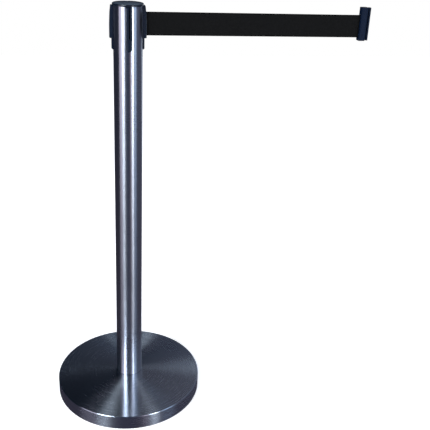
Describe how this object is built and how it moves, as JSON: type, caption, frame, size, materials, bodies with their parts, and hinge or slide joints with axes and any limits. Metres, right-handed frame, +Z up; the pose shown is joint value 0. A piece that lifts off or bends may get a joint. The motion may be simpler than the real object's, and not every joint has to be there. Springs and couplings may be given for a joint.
{
  "type": "retractable belt stanchion",
  "caption": "Free-standing queue barrier post on a round weighted base, with a spring-loaded belt cassette, side receivers and a pulled-out webbing belt that ends in a T-shaped clip.",
  "frame": {"origin": "on the post's axis at floor level, in the middle of the rubber pad's underside", "axes": "+Z up along the post, +X the way the belt leaves the cassette, +Y across the belt towards the rear receiver"},
  "size_m": [0.7232, 0.36, 0.975],
  "materials": {
    "anchor_disc": "mild steel",
    "axle_sleeve": "ground steel",
    "base_cover": "spun stainless steel with a circular brushed finish",
    "base_weight": "rough cast iron, dark primer",
    "belt_coil": "woven polyester webbing",
    "belt_outlet": "moulded black ABS, satin",
    "belt_strap": "woven polyester webbing with selvedge edges",
    "bolt_washer": "zinc-plated steel",
    "cassette_bolt": "black-oxide steel",
    "cassette_lid": "moulded black ABS",
    "cassette_shell": "moulded black ABS",
    "clip_body": "moulded black ABS, satin",
    "clip_cover": "moulded black ABS, satin",
    "clip_pin": "steel pin",
    "clip_screw_lower": "black-oxide steel",
    "clip_screw_upper": "black-oxide steel",
    "floor_pad": "matt black rubber with tread grooves",
    "foot_bolt": "zinc-plated steel",
    "foot_gasket": "matt black rubber",
    "foot_plug": "turned mild steel",
    "foot_spring_washer": "spring steel",
    "foot_washer": "zinc-plated steel",
    "lower_bush": "natural nylon",
    "mainspring": "blued spring steel strip",
    "post_tube": "vertical fine-brushed stainless steel",
    "receiver_front": "moulded black ABS, satin",
    "receiver_left": "moulded black ABS, satin",
    "receiver_rear": "moulded black ABS, satin",
    "spool": "grey acetal",
    "spring_cover": "grey acetal",
    "thrust_washer": "natural nylon",
    "top_cap": "moulded black ABS, satin",
    "upper_bush": "natural nylon"
  },
  "bodies": {
    "stand": {"post_tube": "post_tube", "base_cover": "base_cover", "base_weight": "base_weight", "floor_pad": "floor_pad", "foot_gasket": "foot_gasket", "foot_bolt": "foot_bolt", "foot_washer": "foot_washer", "foot_spring_washer": "foot_spring_washer", "foot_plug": "foot_plug", "anchor_disc": "anchor_disc", "axle_sleeve": "axle_sleeve", "cassette_bolt": "cassette_bolt", "bolt_washer": "bolt_washer", "mainspring": "mainspring", "cassette_shell": "cassette_shell", "cassette_lid": "cassette_lid", "top_cap": "top_cap", "receiver_front": "receiver_front", "receiver_left": "receiver_left", "receiver_rear": "receiver_rear", "belt_outlet": "belt_outlet", "thrust_washer": "thrust_washer"},
    "spool": {"spool": "spool", "spring_cover": "spring_cover", "lower_bush": "lower_bush", "upper_bush": "upper_bush", "belt_coil": "belt_coil"},
    "belt": {"belt_strap": "belt_strap", "clip_body": "clip_body", "clip_cover": "clip_cover", "clip_pin": "clip_pin", "clip_screw_lower": "clip_screw_lower", "clip_screw_upper": "clip_screw_upper"}
  },
  "joints": [
    {"name": "belt_pull", "type": "slide", "parent": "stand", "child": "belt", "axis": [1, 0, 0], "range_m": [-0.48, 1.52], "stiffness_N_per_m": 2, "springref_m": -2.97, "deforming": ["belt_strap"]},
    {"name": "spool_spin", "type": "hinge", "parent": "stand", "child": "spool", "pos_m": [0, 0, 0.9325], "axis": [0, 0, 1], "range_deg": [-4175, 1320], "deforming": ["mainspring"]}
  ],
  "couplings": [
    {"joint": "spool_spin", "follows": "belt_pull", "rad_per_m": -47.85}
  ]
}
